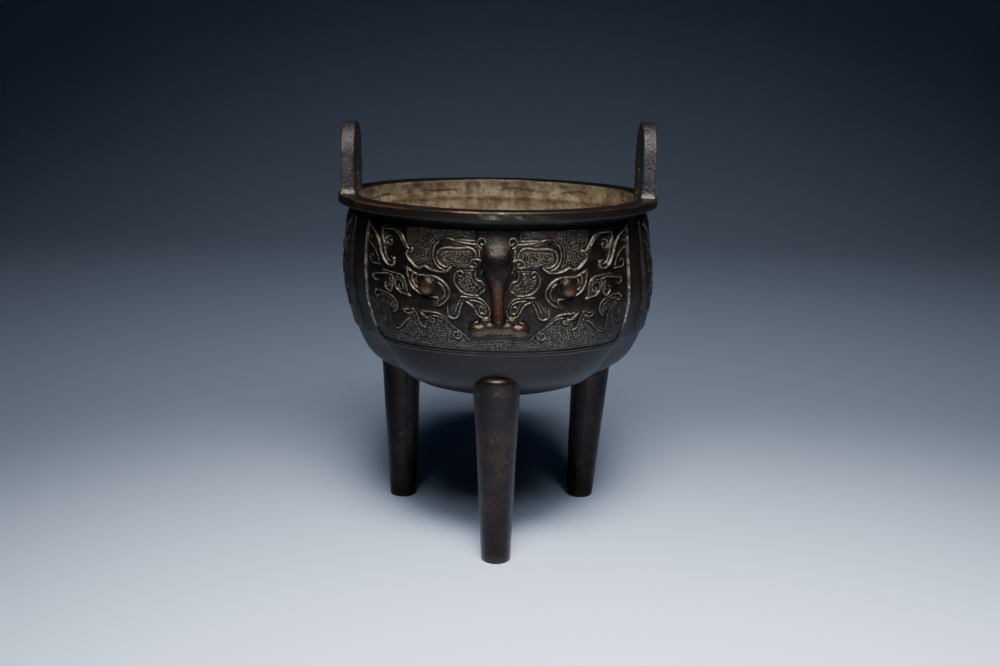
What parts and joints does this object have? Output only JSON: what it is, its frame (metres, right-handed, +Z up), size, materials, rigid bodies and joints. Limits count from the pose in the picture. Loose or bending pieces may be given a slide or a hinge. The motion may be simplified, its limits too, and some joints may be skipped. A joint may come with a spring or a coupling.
{
  "type": "tripod incense burner",
  "caption": "Round cast bronze incense burner with a hollow lobed bowl, a flat rim, upright loop handles, mask panels in relief and tapered legs.",
  "frame": {"origin": "on the ground under the middle of the bowl's rim", "axes": "+Z up, -Y towards the front leg and the front mask, handles at -X and +X"},
  "size_m": [0.1703, 0.1709, 0.2224],
  "materials": {
    "bronze": "dark brown-black patina, satin to glossy, worn to red-brown copper on high points, pale grey-green deposit in the ground of the relief"
  },
  "bodies": {
    "root": {"incense_burner": "bronze"}
  },
  "joints": []
}
